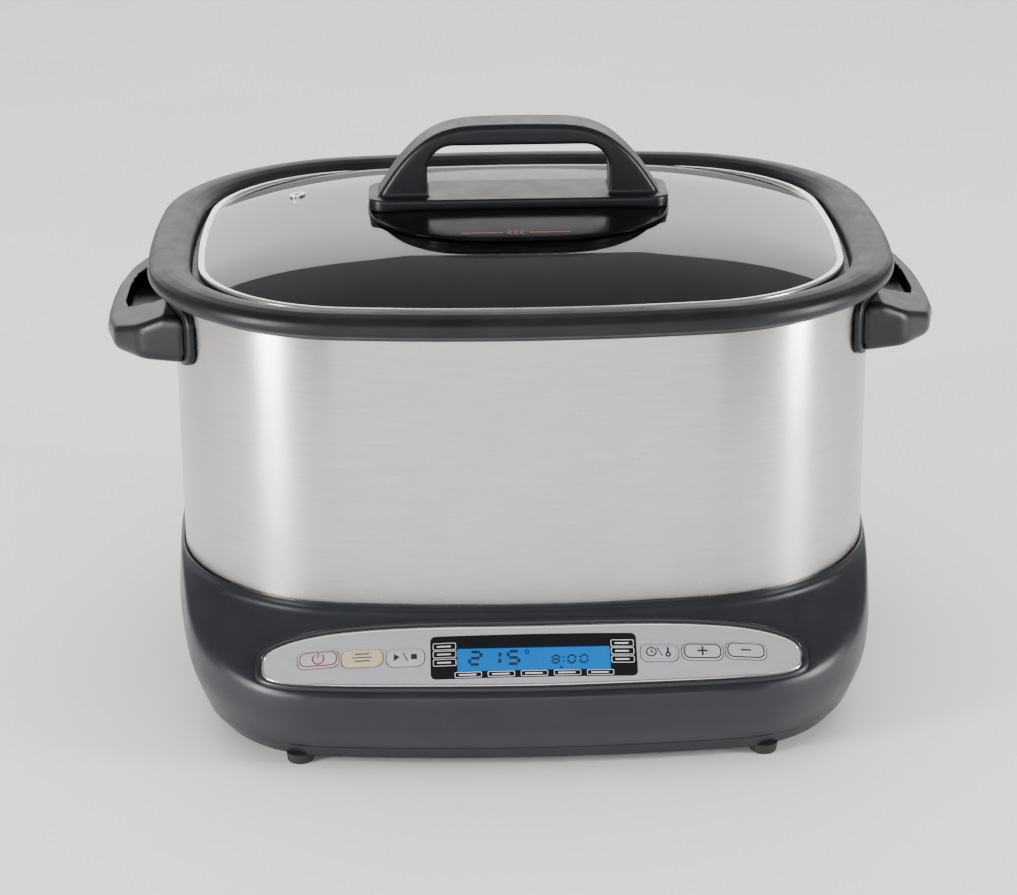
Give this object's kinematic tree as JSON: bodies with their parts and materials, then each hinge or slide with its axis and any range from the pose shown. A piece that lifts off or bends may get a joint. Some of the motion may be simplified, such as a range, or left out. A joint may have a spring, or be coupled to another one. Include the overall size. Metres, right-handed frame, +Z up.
{
  "type": "slow cooker",
  "caption": "Countertop slow cooker: rounded steel body on a sloped control base, lift-out non-stick pot, domed glass lid with arched handle, side handles.",
  "frame": {"origin": "middle of the object's footprint, on the worktop the feet stand on", "axes": "+X to the object's right seen from the front, +Y to the back, +Z up; the control panel faces -Y"},
  "size_m": [0.417, 0.3443, 0.2784],
  "materials": {
    "charcoal_plastic": "moulded, fine satin texture",
    "handle_black": "moulded, satin",
    "black_plastic": "moulded, satin",
    "gloss_black": "polished",
    "button_silver": "metallic face, brushed",
    "fascia_silver": "brushed metallic face",
    "lcd_blue": "back-lit display",
    "white_plastic": "moulded",
    "rubber_black": "matte",
    "screw_steel": "zinc plated",
    "pin_brass": "nickel-washed brass",
    "brushed_steel": "satin brushed around the body",
    "liner_steel": "aluminised sheet",
    "ring_steel": "bright satin",
    "heater_aluminium": "as cast, faced",
    "element_steel": "heat-darkened",
    "steatite": "unglazed ceramic",
    "spring_steel": "drawn wire",
    "pcb_green": "solder mask",
    "component_black": "moulded",
    "component_blue": "sleeved can",
    "wire_insulation": "silicone insulation",
    "ribbon_grey": "flat cable",
    "nonstick": "matte non-stick coating, faint speckle",
    "lid_glass": "clear tempered",
    "silicone": "soft, matte"
  },
  "bodies": {
    "base": {"base_housing": "charcoal_plastic", "bottom_pan": "charcoal_plastic", "rubber_feet": "rubber_black", "pan_screws": "screw_steel", "power_inlet": "black_plastic", "inlet_pins": "pin_brass", "control_fascia": "fascia_silver", "fascia_trim": "charcoal_plastic", "display_window": "gloss_black", "lcd_glass": "lcd_blue", "lcd_backlight": "white_plastic", "control_board": "pcb_green", "lcd_connector": "component_black", "board_screws": "screw_steel", "tact_switches": "component_black", "steel_jacket": "brushed_steel", "chamber_liner": "liner_steel", "top_ring": "black_plastic", "side_handle_left": "handle_black", "side_handle_right": "handle_black", "handle_collar_left": "handle_black", "handle_collar_right": "handle_black", "handle_screws": "screw_steel", "heater_plate": "heater_aluminium", "heating_element": "element_steel", "heat_reflector": "liner_steel", "plate_posts": "steatite", "sensor_guide": "liner_steel", "thermal_fuse": "screw_steel", "power_board": "pcb_green", "mains_transformer": "component_black", "power_relay": "component_black", "filter_capacitors": "component_blue", "terminal_blocks": "white_plastic", "mains_wires": "wire_insulation", "heater_wires": "wire_insulation", "ribbon_cable": "ribbon_grey"},
    "pot": {"inner_pot": "nonstick"},
    "lid": {"lid_glass": "lid_glass", "lid_ring": "ring_steel", "vent_eyelet": "ring_steel", "handle_plate": "gloss_black", "lid_handle": "handle_black", "lid_screws": "screw_steel", "lid_washers": "silicone"},
    "button_power": {"button_power": "button_silver"},
    "button_menu": {"button_menu": "button_silver"},
    "button_start": {"button_start": "button_silver"},
    "button_timer": {"button_timer": "button_silver"},
    "button_plus": {"button_plus": "button_silver"},
    "button_minus": {"button_minus": "button_silver"},
    "sensor": {"sensor_cap": "heater_aluminium", "sensor_spring": "spring_steel"}
  },
  "joints": [
    {"name": "pot_lift", "type": "slide", "parent": "base", "child": "pot", "axis": [0, 0, 1], "range_m": [0, 0.2]},
    {"name": "lid_lift", "type": "slide", "parent": "pot", "child": "lid", "axis": [0, 0, 1], "range_m": [0, 0.12]},
    {"name": "power_press", "type": "slide", "parent": "base", "child": "button_power", "axis": [0, 0.5878, -0.809], "range_m": [0, 0.0006], "stiffness_N_per_m": 400},
    {"name": "menu_press", "type": "slide", "parent": "base", "child": "button_menu", "axis": [0, 0.5878, -0.809], "range_m": [0, 0.0006], "stiffness_N_per_m": 400},
    {"name": "start_press", "type": "slide", "parent": "base", "child": "button_start", "axis": [0, 0.5878, -0.809], "range_m": [0, 0.0006], "stiffness_N_per_m": 400},
    {"name": "timer_press", "type": "slide", "parent": "base", "child": "button_timer", "axis": [0, 0.5878, -0.809], "range_m": [0, 0.0006], "stiffness_N_per_m": 400},
    {"name": "plus_press", "type": "slide", "parent": "base", "child": "button_plus", "axis": [0, 0.5878, -0.809], "range_m": [0, 0.0006], "stiffness_N_per_m": 400},
    {"name": "minus_press", "type": "slide", "parent": "base", "child": "button_minus", "axis": [0, 0.5878, -0.809], "range_m": [0, 0.0006], "stiffness_N_per_m": 400},
    {"name": "sensor_press", "type": "slide", "parent": "base", "child": "sensor", "axis": [0, 0, 1], "range_m": [-0.0015, 0], "stiffness_N_per_m": 500, "deforming": ["sensor_spring"]}
  ]
}
